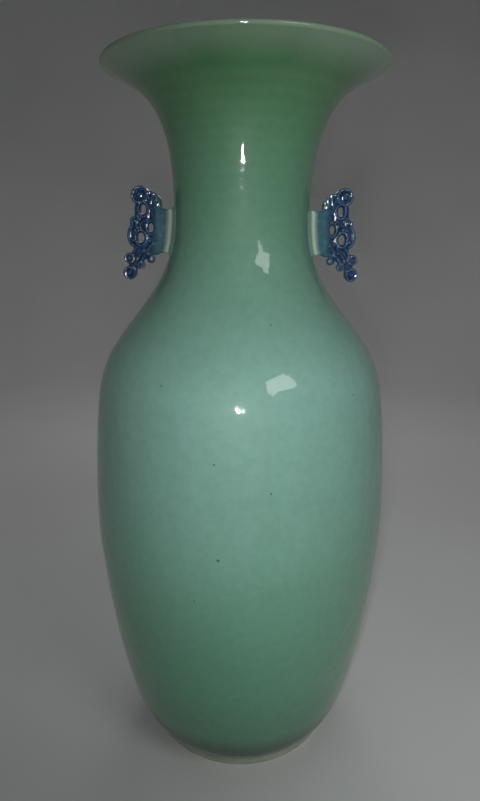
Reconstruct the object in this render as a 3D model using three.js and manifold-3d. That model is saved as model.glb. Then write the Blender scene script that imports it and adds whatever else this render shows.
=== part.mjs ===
// A tall celadon baluster vase with two openwork scroll handles, in millimetres, +Z up.
// The origin is the centre of the foot ring's resting face. The handles stand at -X and +X.
import * as THREE from "three";
import { mergeVertices } from "three/addons/utils/BufferGeometryUtils.js";
import Module from "manifold-3d";

const wasm = await Module();
wasm.setup();

// ---------------------------------------------------------------- driving dimensions

const HEIGHT = 580;
const GAP = 0.3; // between touching pieces

// The outer wall climbs from the foot to the lip in five curves, all as [radius, height].
const WALL_START = [83, 6];
const BELLY = [128, 213];
const SHOULDER = [119, 337];
const TURN = [82.6, 397.3]; // where the shoulder's round turns into the neck's hollow
const WAIST = [55, 472];
const LIP = { centreRadius: 107.2, round: 1.8, lean: THREE.MathUtils.degToRad(67.5), pull: 36 };

// Wall thickness shrinks evenly from the foot to the lip.
const FOOT_WALL = 8;
const LIP_WALL = 2 * LIP.round;

// Heights of the luted joints between the thrown sections.
const BODY_JOINT = 213;
const NECK_JOINT = 404;
const MOUTH_JOINT = 520;

// Foot ring and floor slab.
const FOOT = { outer: 84, inner: 72, chamfer: 1.8, bandTop: 4.9, top: 14, topWidth: 7 };
const FLOOR = { underside: 9, top: 20, lowRadius: 80, highRadius: 88 };

// Handles. X is measured outwards from the vase's axis, and depth is across the handle, along Y.
const BRACKET = { inner: 48, outer: 68.5, bottom: 440.3, top: 475.2, depth: 15, round: 1.5 };
const PLATE = { depth: 8, round: 1.2 };
const RIM = { depth: 11, width: 2.2 }; // raised band round each hole
const LEAF = { depth: 10, round: 0.8 };
const SCROLL_WEB = { depth: 7, inset: 0.4, round: 1 }; // the plate behind a scroll's coil
const COIL_SHARE = 0.345; // width of a scroll's coil, as a share of the scroll's radius
const COIL_EYE = 0.19; // radius at which the coil ends, as the same share
const HOLES = [
  { centre: [79.8, 474.4], radii: [2.4, 3.9] },
  { centre: [73.6, 460.3], radii: [2.5, 3.6] },
  { centre: [82.1, 452.4], radii: [2.9, 4.1] },
];
const SCROLLS = {
  crest_curl: { centre: [82.2, 485.6], radius: 7.4, depth: 13, start: -70, turns: 1.4, hand: 1 },
  upper_scroll: { centre: [91.8, 436], radius: 4.2, depth: 11, start: 200, turns: 1.2, hand: -1 },
  lower_scroll: { centre: [91.9, 424.3], radius: 5.4, depth: 12, start: 150, turns: 1.3, hand: -1 },
  inner_curl: { centre: [82.4, 430.4], radius: 3.1, depth: 10, start: 60, turns: 1.1, hand: 1 },
};
const ROOM_DEPTH = 30; // deeper than any piece of a handle, for the cuts between neighbours
const PELLET = { centre: [74.2, 435.6], radius: 3.2, depth: 7 };

// The neck was luted on a little askew, so it and all it carries drift towards +X as they rise,
// and one handle sits higher than the other.
const NECK_DRIFT = 0.0228; // sideways per unit of height above the neck's joint
const HANDLE_RISE = { left: 1, right: -1 };

// ---------------------------------------------------------------- resolution

const SECTORS = 36; // flat sides of each thrown section, a multiple of 4 so that the box is true
const SECTION_ROWS = { lower_body: 10, upper_body: 13, neck: 7, mouth: 8 };
const LIP_STEPS = 8;
const SMALL_SECTORS = 14;
const SPIRAL_STEPS = 12;
const BAR_SIDES = 6;
const OUTLINE_STEPS = 2; // per point of an outline

// ---------------------------------------------------------------- materials

const CELADON = new THREE.MeshStandardMaterial({ color: 0x7ea89d, roughness: 0.12, metalness: 0 });
const BISCUIT = new THREE.MeshStandardMaterial({ color: 0xd9d4c3, roughness: 0.8, metalness: 0 });
const PALE_COBALT = new THREE.MeshStandardMaterial({ color: 0x7d95a6, roughness: 0.15, metalness: 0 });
const COBALT = new THREE.MeshStandardMaterial({ color: 0x3d5f88, roughness: 0.15, metalness: 0 });

// ---------------------------------------------------------------- solids and booleans

// A closed geometry as a manifold-3d solid.
function solid(geometry) {
  const bare = geometry.clone();
  bare.deleteAttribute("normal");
  bare.deleteAttribute("uv");
  const merged = mergeVertices(bare, 1e-4);
  return new wasm.Manifold(
    new wasm.Mesh({
      numProp: 3,
      vertProperties: merged.attributes.position.array,
      triVerts: new Uint32Array(merged.index.array),
    }),
  );
}

// A manifold-3d solid as a geometry.
function geometryOf(manifold) {
  const mesh = manifold.getMesh();
  const geometry = new THREE.BufferGeometry();
  geometry.setAttribute("position", new THREE.BufferAttribute(mesh.vertProperties, 3));
  geometry.setIndex(new THREE.BufferAttribute(mesh.triVerts, 1));
  geometry.computeVertexNormals();
  return geometry;
}

function cut(geometry, ...tools) {
  return geometryOf(tools.reduce((left, tool) => left.subtract(solid(tool)), solid(geometry)));
}

function join(geometry, ...others) {
  return geometryOf(others.reduce((sum, other) => sum.add(solid(other)), solid(geometry)));
}

// Turns a closed profile of Vector2(radius, height), outer side climbing, about the Z axis.
function revolve(profile, sectors = SECTORS) {
  const closed = profile[0].x === 0 ? profile : [...profile, profile[0]];
  return new THREE.LatheGeometry(closed, sectors).rotateX(Math.PI / 2);
}

const vector = ([x, y]) => new THREE.Vector2(x, y);

// ---------------------------------------------------------------- the wall's curve

function wallCurve() {
  const lipCentre = new THREE.Vector2(LIP.centreRadius, HEIGHT - LIP.round);
  const climb = new THREE.Vector2(Math.sin(LIP.lean), Math.cos(LIP.lean));
  const end = lipCentre.clone().add(new THREE.Vector2(climb.y, -climb.x).multiplyScalar(LIP.round));
  const pull = end.clone().addScaledVector(climb, -LIP.pull);
  const curves = [
    [WALL_START, [116.5, 27], [BELLY[0], 197], BELLY],
    [BELLY, [BELLY[0], 282], [120.5, 331.5], SHOULDER],
    [SHOULDER, [113, 356.5], [113.4, 360], TURN],
    [TURN, [60.5, 424.5], [WAIST[0], 443], WAIST],
    [WAIST, [WAIST[0], 550], pull.toArray(), end.toArray()],
  ];
  const path = new THREE.CurvePath();
  for (const points of curves) path.add(new THREE.CubicBezierCurve(...points.map(vector)));
  return path;
}

const WALL = wallCurve();
const WALL_LENGTH = WALL.getLength();

// How far along the wall, from 0 at the foot to 1 at the lip, a height lies.
function reach(height) {
  let low = 0;
  let high = 1;
  for (let i = 0; i < 30; i += 1) {
    const middle = (low + high) / 2;
    if (WALL.getPointAt(middle).y < height) low = middle;
    else high = middle;
  }
  return low;
}

// A point of the wall, `depth` inside its outer face.
function wallPoint(along, depth) {
  const tangent = WALL.getTangentAt(along);
  const inward = new THREE.Vector2(-tangent.y, tangent.x);
  return WALL.getPointAt(along).addScaledVector(inward, depth);
}

const wallThickness = (along) => THREE.MathUtils.lerp(FOOT_WALL, LIP_WALL, along);

// ---------------------------------------------------------------- thrown sections

// One thrown section between two places along the wall, grown on every side by `grow`.
function thrownSection(from, to, rows, grow = 0) {
  const outer = [];
  const inner = [];
  for (let i = 0; i <= rows; i += 1) {
    const along = THREE.MathUtils.lerp(from, to, i / rows);
    outer.push(wallPoint(along, -grow));
    inner.unshift(wallPoint(along, wallThickness(along) + grow));
  }
  return [outer, inner];
}

// The section that the foot ring and the floor slab are fitted against.
function lowerBodySolid(grow = 0) {
  return revolve(thrownSection(0, reach(BODY_JOINT), SECTION_ROWS.lower_body, grow).flat());
}

// A section that stands on the joint at one height and ends at the joint at another.
function middleSection(name, fromHeight, toHeight, grow = 0) {
  const start = reach(fromHeight) + GAP / WALL_LENGTH;
  return thrownSection(start, reach(toHeight), SECTION_ROWS[name], grow);
}

const upperBodySolid = () => revolve(middleSection("upper_body", BODY_JOINT, NECK_JOINT).flat());
const neckSolid = () => revolve(middleSection("neck", NECK_JOINT, MOUTH_JOINT).flat());

// The neck and its clearance filled to the axis, for fitting the brackets against it.
function neckCore() {
  const [side] = middleSection("neck", NECK_JOINT, MOUTH_JOINT, GAP);
  const bottom = new THREE.Vector2(0, side[0].y);
  const top = new THREE.Vector2(0, side[side.length - 1].y);
  return revolve([bottom, ...side, top]);
}

// The flared mouth ends in a half-round lip.
function mouthSolid() {
  const start = reach(MOUTH_JOINT) + GAP / WALL_LENGTH;
  const [outer, inner] = thrownSection(start, 1, SECTION_ROWS.mouth);
  const centre = wallPoint(1, LIP.round);
  const first = outer[outer.length - 1].clone().sub(centre);
  const lip = [];
  for (let i = 1; i < LIP_STEPS; i += 1) {
    lip.push(first.clone().rotateAround(new THREE.Vector2(), (Math.PI * i) / LIP_STEPS).add(centre));
  }
  return revolve([...outer, ...lip, ...inner]);
}

// ---------------------------------------------------------------- foot and floor

function footRingProfile(grow = 0) {
  return [
    [FOOT.inner - grow, 0],
    [FOOT.outer - FOOT.chamfer, 0],
    [FOOT.outer, FOOT.chamfer],
    [FOOT.outer, FOOT.bandTop],
    [WALL_START[0], WALL_START[1] - GAP],
    [FOOT.inner + FOOT.topWidth, FOOT.top + grow],
    [FOOT.inner - grow, FOOT.top + grow],
  ].map(vector);
}

const footRing = () => cut(revolve(footRingProfile()), lowerBodySolid(GAP));

function baseFloor() {
  const blank = [
    [0, FLOOR.underside],
    [FLOOR.lowRadius, FLOOR.underside],
    [FLOOR.highRadius, FLOOR.top],
    [0, FLOOR.top],
  ].map(vector);
  return cut(revolve(blank), revolve(footRingProfile(GAP)), lowerBodySolid(GAP));
}

// ---------------------------------------------------------------- handle pieces

// Extrudes an outline drawn in X and Z evenly to both sides of Y = 0, with bevelled edges.
function slab(shape, depth, round) {
  const geometry = new THREE.ExtrudeGeometry(shape, {
    depth: depth - 2 * round,
    bevelThickness: round,
    bevelSize: round,
    bevelOffset: -round,
    bevelSegments: 1,
  });
  return geometry.translate(0, 0, -(depth - 2 * round) / 2).rotateX(Math.PI / 2);
}

// A smooth closed outline through hand-placed points.
function outline(points) {
  const curve = new THREE.CatmullRomCurve3(points.map(([x, z]) => new THREE.Vector3(x, z, 0)), true);
  const around = curve.getPoints(OUTLINE_STEPS * points.length).slice(1);
  return new THREE.Shape(around.map(({ x, y }) => new THREE.Vector2(x, y)));
}

function ellipse([x, z], [radiusX, radiusZ], sides = SMALL_SECTORS) {
  const curve = new THREE.EllipseCurve(x, z, radiusX, radiusZ, 0, 2 * Math.PI);
  return new THREE.Shape(curve.getPoints(sides).slice(1));
}

// A bar of oval section along a flat curve in X and Z.
function bar(curve, width, depth, steps, closed = false) {
  const section = ellipse([0, 0], [depth / 2, width / 2], BAR_SIDES);
  const points = [];
  for (let i = 0; i < (closed ? steps : steps + 1); i += 1) {
    const { x, y } = curve.getPoint(i / steps);
    points.push(new THREE.Vector3(x, 0, y));
  }
  return new THREE.ExtrudeGeometry(section, {
    steps,
    bevelEnabled: false,
    extrudePath: new THREE.CatmullRomCurve3(points, closed),
  });
}

// A flat spiral that winds in from the rim of a scroll.
class Spiral extends THREE.Curve {
  constructor({ centre, radius, start, turns, hand }) {
    super();
    Object.assign(this, { centre, start, turns, hand });
    this.outer = radius * (1 - COIL_SHARE / 2);
    this.inner = radius * COIL_EYE;
  }

  getPoint(t, target = new THREE.Vector2()) {
    const angle = THREE.MathUtils.degToRad(this.start) + this.hand * 2 * Math.PI * this.turns * t;
    const radius = THREE.MathUtils.lerp(this.outer, this.inner, t);
    return target.set(
      this.centre[0] + radius * Math.cos(angle),
      this.centre[1] + radius * Math.sin(angle),
    );
  }
}

// A round plate, for a scroll's web or for the room that a scroll takes up.
function disc({ centre, radius }, depth, round) {
  return slab(ellipse(centre, [radius, radius]), depth, round);
}

function scroll(spec) {
  const { depth, inset, round } = SCROLL_WEB;
  const web = disc({ centre: spec.centre, radius: spec.radius - inset }, depth, round);
  return join(web, bar(new Spiral(spec), spec.radius * COIL_SHARE, spec.depth, SPIRAL_STEPS));
}

// The room that a scroll and its clearance take out of its neighbours.
const scrollRoom = ({ centre, radius }) => disc({ centre, radius: radius + GAP }, ROOM_DEPTH, GAP);

function pellet(grow = 0) {
  const radius = PELLET.radius + grow;
  return new THREE.SphereGeometry(radius, SMALL_SECTORS, SMALL_SECTORS / 2)
    .scale(1, (PELLET.depth / 2 + grow) / radius, 1)
    .translate(PELLET.centre[0], 0, PELLET.centre[1]);
}

// The block between the neck and the scrollwork, for a handle set `rise` above its nominal place.
function bracket(rise) {
  const { inner, outer, bottom, top, depth, round } = BRACKET;
  const shape = new THREE.Shape([
    [inner, bottom],
    [outer, bottom],
    [outer, top],
    [inner, top],
  ].map(vector));
  return cut(slab(shape, depth, round), neckCore().translate(0, 0, -rise));
}

const bracketRoom = () => {
  const { inner, outer, bottom, top } = BRACKET;
  return new THREE.BoxGeometry(outer - inner, ROOM_DEPTH, top - bottom + 2 * GAP)
    .translate((inner + outer) / 2 + GAP, 0, (bottom + top) / 2);
};

// The leaf that leans over the bracket towards the neck.
const SHOULDER_LEAF = [
  [65.2, 476],
  [65.2, 481],
  [67.4, 485],
  [71, 487.4],
  [75, 488.2],
  [76.4, 484],
  [74.6, 480.5],
  [71.5, 478],
  [69.5, 475.6],
];

// The two lobes that bulge from the outer edge.
const OUTER_LEAF = [
  [87, 468.6],
  [89.6, 467.6],
  [90.2, 464.3],
  [90.2, 461.6],
  [92.4, 457.6],
  [93, 452.5],
  [90.8, 447.6],
  [88.6, 446.8],
  [88.6, 452],
  [87.9, 458],
  [86.6, 463],
];

// The pierced plate, from the bracket up to the crest and down along the tail.
const PLATE_OUTLINE = [
  [68, 441],
  [67, 458],
  [67.5, 474],
  [71, 479.5],
  [76, 484],
  [82, 484],
  [86, 477.5],
  [86.6, 470],
  [88.5, 462],
  [90, 453],
  [87.8, 444],
  [90, 438],
  [90.6, 428],
  [87, 426.6],
  [84.5, 430],
  [80.5, 434.5],
  [75, 438.5],
];

const leaf = (points, ...rooms) => cut(slab(outline(points), LEAF.depth, LEAF.round), ...rooms);

// The room that a leaf takes out of the plate: a deep slab of its outline, let out by the gap.
function leafRoom(points) {
  return new THREE.ExtrudeGeometry(outline(points), {
    depth: ROOM_DEPTH,
    bevelThickness: GAP,
    bevelSize: GAP,
    bevelSegments: 1,
  }).translate(0, 0, -ROOM_DEPTH / 2).rotateX(Math.PI / 2);
}

function plaque() {
  const plate = outline(PLATE_OUTLINE);
  plate.holes = HOLES.map(({ centre, radii }) => ellipse(centre, radii));
  const rims = HOLES.map(({ centre, radii }) => {
    const [radiusX, radiusZ] = radii.map((radius) => radius + RIM.width / 2);
    const ring = new THREE.EllipseCurve(...centre, radiusX, radiusZ, 0, 2 * Math.PI);
    return bar(ring, RIM.width, RIM.depth, SMALL_SECTORS, true);
  });
  return cut(
    join(slab(plate, PLATE.depth, PLATE.round), ...rims),
    bracketRoom(),
    leafRoom(SHOULDER_LEAF),
    leafRoom(OUTER_LEAF),
    pellet(GAP),
    ...Object.values(SCROLLS).map(scrollRoom),
  );
}

// ---------------------------------------------------------------- the object

function mesh(name, geometry, material) {
  const made = new THREE.Mesh(geometry, material);
  made.name = name;
  return made;
}

function handle(side) {
  const group = new THREE.Group();
  group.position.z = HANDLE_RISE[side];
  const { crest_curl: crest, upper_scroll: upper, lower_scroll: lower } = SCROLLS;
  group.add(
    mesh(`${side}_bracket`, bracket(HANDLE_RISE[side]), PALE_COBALT),
    mesh(`${side}_plaque`, plaque(), COBALT),
    mesh(`${side}_shoulder_leaf`, leaf(SHOULDER_LEAF, scrollRoom(crest), bracketRoom()), COBALT),
    mesh(`${side}_outer_leaf`, leaf(OUTER_LEAF), COBALT),
    mesh(`${side}_crest_curl`, scroll(crest), COBALT),
    mesh(`${side}_upper_scroll`, scroll(upper), COBALT),
    mesh(`${side}_lower_scroll`, scroll(lower), COBALT),
    mesh(`${side}_inner_curl`, scroll(SCROLLS.inner_curl), COBALT),
    mesh(`${side}_pellet`, pellet(), COBALT),
  );
  return group;
}

const vase = new THREE.Group();
vase.add(
  mesh("foot_ring", footRing(), BISCUIT),
  mesh("base_floor", baseFloor(), CELADON),
  mesh("lower_body", lowerBodySolid(), CELADON),
  mesh("upper_body", upperBodySolid(), CELADON),
);

const leftHandle = handle("left");
leftHandle.rotation.z = Math.PI;
const throat = new THREE.Group();
throat.add(
  mesh("neck", neckSolid(), CELADON),
  mesh("mouth", mouthSolid(), CELADON),
  handle("right"),
  leftHandle,
);
throat.matrixAutoUpdate = false;
throat.matrix.makeShear(0, 0, 0, 0, NECK_DRIFT, 0).setPosition(-NECK_DRIFT * NECK_JOINT, 0, 0);
vase.add(throat);

export default vase;
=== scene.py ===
import math

import bmesh
import bpy
import numpy as np
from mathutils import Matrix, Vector


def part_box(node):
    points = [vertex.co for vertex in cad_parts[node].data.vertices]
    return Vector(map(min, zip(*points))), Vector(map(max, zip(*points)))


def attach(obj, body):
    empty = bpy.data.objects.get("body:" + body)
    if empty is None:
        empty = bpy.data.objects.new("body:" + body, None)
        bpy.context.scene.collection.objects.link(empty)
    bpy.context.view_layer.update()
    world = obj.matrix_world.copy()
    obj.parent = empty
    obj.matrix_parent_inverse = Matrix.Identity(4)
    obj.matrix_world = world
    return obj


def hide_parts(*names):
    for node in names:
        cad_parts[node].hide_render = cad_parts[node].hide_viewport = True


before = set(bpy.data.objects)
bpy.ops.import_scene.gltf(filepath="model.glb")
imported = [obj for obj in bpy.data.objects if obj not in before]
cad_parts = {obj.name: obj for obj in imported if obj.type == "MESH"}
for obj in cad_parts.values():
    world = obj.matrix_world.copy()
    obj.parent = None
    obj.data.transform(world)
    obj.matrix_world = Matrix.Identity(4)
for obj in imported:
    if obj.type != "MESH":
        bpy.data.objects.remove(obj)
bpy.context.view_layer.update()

MM = 0.001
ROOT = "root"


# ------------------------------------------------------------------ sizes of the CAD part

def cad_size(node, axis, low=False):
    """Where a CAD node's box ends along an axis, in millimetres to one decimal."""
    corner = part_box(node)[0 if low else 1]
    return round(corner["XYZ".index(axis)] / MM, 1)


HEIGHT = cad_size("mouth", "Z")
BODY_JOINT = cad_size("lower_body", "Z")
NECK_JOINT = cad_size("upper_body", "Z")
MOUTH_JOINT = 520.0
WALL_START = (83.0, 6.0)
BELLY = (cad_size("upper_body", "X"), BODY_JOINT)
SHOULDER = (119.0, 337.0)
TURN = (82.6, 397.3)
WAIST = (55.0, 472.0)
LIP_CENTRE_RADIUS = 107.2
LIP_ROUND = 1.8
LIP_LEAN = math.radians(67.5)
LIP_PULL = 36.0
FOOT_WALL = 8.0
NECK_DRIFT = 0.0228  # towards +X, for each millimetre above the neck's joint
HANDLE_RISE = {"left": 1.0, "right": -1.0}


# ------------------------------------------------------------------ meshes

def link(obj):
    bpy.context.scene.collection.objects.link(obj)
    return obj


def mesh_object(name, points, faces, smooth=True):
    """A mesh object from points in millimetres."""
    mesh = bpy.data.meshes.new(name)
    mesh.from_pydata((np.asarray(points) * MM).tolist(), [], [tuple(face) for face in faces])
    mesh.polygons.foreach_set("use_smooth", [smooth] * len(mesh.polygons))
    mesh.validate()
    return link(bpy.data.objects.new(name, mesh))


def point_attribute(obj, name, values):
    """Stores one number per vertex, for the material to read."""
    attribute = obj.data.attributes.new(name, "FLOAT", "POINT")
    attribute.data.foreach_set("value", np.asarray(values, dtype=np.float32))


def install(obj, material, slot, *nodes):
    """Makes a piece ride with the vase, hides the CAD nodes it takes the place of, and gives it a
    material.
    """
    obj.data.materials.append(material)
    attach(obj, ROOT)
    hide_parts(*nodes)
    return obj


# ------------------------------------------------------------------ the thrown wall's outline

CURVE_STEPS = 600
EASE = 7.0  # length over which the outline's corners are eased
EASE_STEP = 0.25
PROBE = 0.5  # how far to each side of a place its direction is measured


def bezier(start, first, second, end, steps):
    t = np.linspace(0, 1, steps)[:, None]
    start, first, second, end = (np.array(point, float) for point in (start, first, second, end))
    early = (1 - t) ** 3 * start + 3 * (1 - t) ** 2 * t * first
    return early + 3 * (1 - t) * t * t * second + t ** 3 * end


def wall_outline():
    """The outer wall from the foot to the lip, as finely spaced (radius, height) points."""
    lip_centre = np.array([LIP_CENTRE_RADIUS, HEIGHT - LIP_ROUND])
    climb = np.array([math.sin(LIP_LEAN), math.cos(LIP_LEAN)])
    end = lip_centre + LIP_ROUND * np.array([climb[1], -climb[0]])
    curves = [
        (WALL_START, (116.5, 27), (BELLY[0], 197), BELLY),
        (BELLY, (BELLY[0], 282), (120.5, 331.5), SHOULDER),
        (SHOULDER, (113, 356.5), (113.4, 360), TURN),
        (TURN, (60.5, 424.5), (WAIST[0], 443), WAIST),
        (WAIST, (WAIST[0], 550), end - LIP_PULL * climb, end),
    ]
    pieces = [bezier(*curve, CURVE_STEPS)[:-1] for curve in curves]
    return eased(np.vstack(pieces + [end[None, :]]))


def eased(points):
    """Takes a line's small corners away, as the potter's rib does, and keeps its two ends."""
    steps = np.linalg.norm(np.diff(points, axis=0), axis=1)
    along = np.concatenate([[0], np.cumsum(steps)])
    even = np.linspace(0, along[-1], int(along[-1] / EASE_STEP))
    points = np.column_stack([np.interp(even, along, points[:, k]) for k in (0, 1)])
    reach = int(4 * EASE / EASE_STEP)
    weight = np.exp(-0.5 * (np.arange(-reach, reach + 1) * EASE_STEP / EASE) ** 2)
    before = 2 * points[0] - points[reach:0:-1]
    after = 2 * points[-1] - points[-2:-reach - 2:-1]
    weight /= weight.sum()
    longer = np.vstack([before, points, after])
    return np.column_stack([np.convolve(longer[:, k], weight, "valid") for k in (0, 1)])


class Wall:
    """The wall's outline by distance along it."""

    def __init__(self):
        self.points = wall_outline()
        steps = np.linalg.norm(np.diff(self.points, axis=0), axis=1)
        self.along = np.concatenate([[0], np.cumsum(steps)])
        self.length = self.along[-1]

    def at(self, along):
        return np.column_stack([np.interp(along, self.along, self.points[:, k]) for k in (0, 1)])

    def inward(self, along):
        """Unit vectors from the outer face into the clay."""
        ahead = self.at(np.clip(np.asarray(along) + PROBE, 0, self.length))
        behind = self.at(np.clip(np.asarray(along) - PROBE, 0, self.length))
        tangent = ahead - behind
        tangent /= np.linalg.norm(tangent, axis=1)[:, None]
        return np.column_stack([-tangent[:, 1], tangent[:, 0]])

    def thickness(self, along):
        return FOOT_WALL + (2 * LIP_ROUND - FOOT_WALL) * np.asarray(along) / self.length

    def reach(self, height):
        return float(np.interp(height, self.points[:, 1], self.along))

    def radius(self, height):
        return np.interp(height, self.points[:, 1], self.points[:, 0])


WALL = Wall()


def drift(height):
    """How far the neck has wandered towards +X at a height."""
    return NECK_DRIFT * np.maximum(np.asarray(height) - NECK_JOINT, 0)


# ------------------------------------------------------------------ thrown sections

SECTORS = 288
OUTER_STEP = 1.6
INNER_STEP = 4.0
LIP_STEPS = 14
LIP_PROBE = 0.1
SHRINK = 0.1  # the thrown surface wanders this far inside its nominal outline
SHARP_ANGLE = math.radians(35)


def hand_thrown(angle, height):
    """How far a thrown surface dips inside its outline: slow waves and faint finger rings."""
    waves = np.sin(2 * angle + height / 70), np.sin(3 * angle - height / 45 + 1.3)
    slow = 0.5 + 0.25 * waves[0] + 0.25 * waves[1]
    rings = 0.5 + 0.5 * np.sin(height / 1.35 + 1.2 * np.sin(height / 17))
    return SHRINK * (0.92 * slow + 0.08 * rings)


def ring_points(profile):
    """Turns (radius, height) points about the axis, unevenly and with the neck's drift."""
    angle = np.linspace(0, 2 * math.pi, SECTORS, endpoint=False)[None, :]
    radius, height = profile[:, 0][:, None], profile[:, 1][:, None]
    radius = radius - hand_thrown(angle, height)
    x = radius * np.cos(angle) + drift(height)
    return np.stack([x, radius * np.sin(angle), height + 0 * angle], axis=2)


def band_faces(rows):
    """Quads of a stack of rings."""
    row, column = np.meshgrid(np.arange(rows - 1), np.arange(SECTORS), indexing="ij")
    following = (column + 1) % SECTORS
    low, high = row * SECTORS, (row + 1) * SECTORS
    corners = [low + column, low + following, high + following, high + column]
    return np.stack(corners, axis=2).reshape(-1, 4)


def stations(start, end, step):
    return np.linspace(start, end, max(3, int(round((end - start) / step)) + 1))


def thrown_face(along, depth):
    """A ring surface at a share of the wall's thickness below its outer face, with its normals."""

    def rings(reach):
        inside = WALL.inward(reach) * (WALL.thickness(reach) * depth)[:, None]
        return ring_points(WALL.at(reach) + inside)

    middle = np.clip(along, PROBE, WALL.length - PROBE)
    points = rings(along)
    up = rings(middle + PROBE) - rings(middle - PROBE)
    return points, np.cross(around(points), up)


def around(points):
    """The way each ring runs, counter-clockwise."""
    return np.roll(points, -1, axis=1) - np.roll(points, 1, axis=1)


def lip_face(along):
    """The rounded edge between the outer and the inner face of the mouth, with its normals."""
    centre = np.array([LIP_CENTRE_RADIUS, HEIGHT - LIP_ROUND])
    turn = -LIP_LEAN + math.pi * np.arange(1, LIP_STEPS) / LIP_STEPS
    out = np.column_stack([np.cos(turn), np.sin(turn)])
    step = np.column_stack([-np.sin(turn), np.cos(turn)])
    points = ring_points(centre + LIP_ROUND * out)
    up = ring_points(centre + LIP_ROUND * out + LIP_PROBE * step) - points
    return points, np.cross(around(points), up), np.full(len(turn), along)


def thrown_piece(name, start, end, lip=False):
    """A closed ring of wall between two places along it, which meets the next pieces exactly."""
    outer_along = stations(start, end, OUTER_STEP)
    inner_along = stations(start, end, INNER_STEP)[::-1]
    outer, outer_normal = thrown_face(outer_along, 0.0)
    inner, inner_normal = thrown_face(inner_along, 1.0)
    points, normal, along = [outer], [outer_normal], [outer_along]
    if lip:
        lip_points, lip_normal, lip_along = lip_face(end)
        points.append(lip_points)
        normal.append(lip_normal)
        along.append(lip_along)
    points = np.vstack(points + [inner])
    normal = np.vstack(normal + [-inner_normal])
    along = np.concatenate(along + [inner_along])
    rows = len(points)
    first = np.arange(SECTORS)
    second = (first + 1) % SECTORS
    last = (rows - 1) * SECTORS
    seam = np.column_stack([last + first, last + second, second, first])
    obj = mesh_object(name, points.reshape(-1, 3), np.vstack([band_faces(rows), seam]))
    point_attribute(obj, "from_lip", (WALL.length - np.repeat(along, SECTORS)) * MM)
    normal = normal.reshape(-1, 3)
    normal /= np.linalg.norm(normal, axis=1)[:, None]
    obj.data.normals_split_custom_set_from_vertices(normal.tolist())
    return obj


def solid_of_revolution(name, profile):
    """A closed turned piece below the neck. Its profile runs from the axis or closes on itself."""
    profile = np.asarray(profile, float)
    rows = len(profile)
    points = ring_points(profile)
    faces = band_faces(rows).tolist()
    last = (rows - 1) * SECTORS
    steps = [(i, (i + 1) % SECTORS) for i in range(SECTORS)]
    if profile[0, 0] == 0:
        faces = [face for face in faces if min(face) >= SECTORS and max(face) < last]
        points = points.reshape(-1, 3)
        points[0] = (0, 0, profile[0, 1])
        points[last] = (0, 0, profile[-1, 1])
        rim = last - SECTORS
        faces += [(0, SECTORS + j, SECTORS + i) for i, j in steps]
        faces += [(rim + i, rim + j, last) for i, j in steps]
    else:
        points = points.reshape(-1, 3)
        faces += [(last + i, last + j, j, i) for i, j in steps]
    obj = mesh_object(name, points, faces)
    tidy = bmesh.new()
    tidy.from_mesh(obj.data)
    loose = [vertex for vertex in tidy.verts if not vertex.link_faces]
    bmesh.ops.delete(tidy, geom=loose, context="VERTS")
    for edge in tidy.edges:
        edge.smooth = len(edge.link_faces) == 2 and edge.calc_face_angle(0) < SHARP_ANGLE
    tidy.to_mesh(obj.data)
    tidy.free()
    return obj


def turned(centre, across, up, angle):
    """Points about a centre, at distances across and up."""
    return np.column_stack([centre[0] + across * np.cos(angle), centre[1] + up * np.sin(angle)])


def arc(centre, radius, start, end, steps):
    """Points of a circular arc, angles in degrees."""
    return turned(centre, radius, radius, np.radians(np.linspace(start, end, steps)))


# Foot ring and floor, drawn to meet the wall's lower end.
FOOT_OUTER = cad_size("foot_ring", "X")
FOOT_INNER = 72.0
FLOOR_UNDERSIDE = cad_size("base_floor", "Z", low=True)
FLOOR_TOP = cad_size("base_floor", "Z")
FOOT_ROUND = 1.6
BAND_TOP = 4.6  # where the ring's outer face turns in to meet the wall
BAND_ROUND = 1.0
SLIP_GAP = 0.15  # between the ring and the wall
RECESS_FILLET = 3.0


def foot_ring():
    """The turned ring that the vase stands on: a chamfered bare edge under a pale glazed band."""
    wall_foot = WALL.at([0.0])[0]
    wall_inside = wall_foot + WALL.inward([0.0])[0] * FOOT_WALL
    profile = np.vstack([
        arc((FOOT_INNER + FOOT_ROUND, FOOT_ROUND), FOOT_ROUND, 180, 270, 7),
        arc((FOOT_OUTER - FOOT_ROUND, FOOT_ROUND), FOOT_ROUND, 270, 360, 9),
        [(FOOT_OUTER, BAND_TOP - BAND_ROUND)],
        arc((FOOT_OUTER - BAND_ROUND, BAND_TOP), BAND_ROUND, 0, 80, 6),
        [wall_foot + (0, -SLIP_GAP), wall_inside + (-0.1, -SLIP_GAP)],
        [(FOOT_INNER + 2, wall_inside[1]), (FOOT_INNER, wall_inside[1] - 1.5)],
    ])
    return solid_of_revolution("foot_ring_turned", profile)


def base_floor():
    """The slab that closes the bottom, hollowed a little on both faces."""
    rim = FOOT_INNER - 0.1
    under = arc((rim - RECESS_FILLET, FLOOR_UNDERSIDE - RECESS_FILLET), RECESS_FILLET, 90, 0, 7)
    sag = [(0, FLOOR_UNDERSIDE + 1.2), (25, FLOOR_UNDERSIDE + 1.0), (50, FLOOR_UNDERSIDE + 0.5)]
    reach = np.linspace(0, 20, 60)
    wall = WALL.at(reach) + WALL.inward(reach) * WALL.thickness(reach)[:, None]
    edge = wall[wall[:, 1] < FLOOR_TOP][::6] + (0.3, 0)
    bowl = [(82, FLOOR_TOP - 1), (60, FLOOR_TOP - 2), (30, FLOOR_TOP - 2.5), (0, FLOOR_TOP - 2.6)]
    profile = np.vstack([sag, under, [(rim, 12.5)], edge, bowl])
    return solid_of_revolution("base_floor_slab", profile)


# ------------------------------------------------------------------ modelled clay

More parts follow.
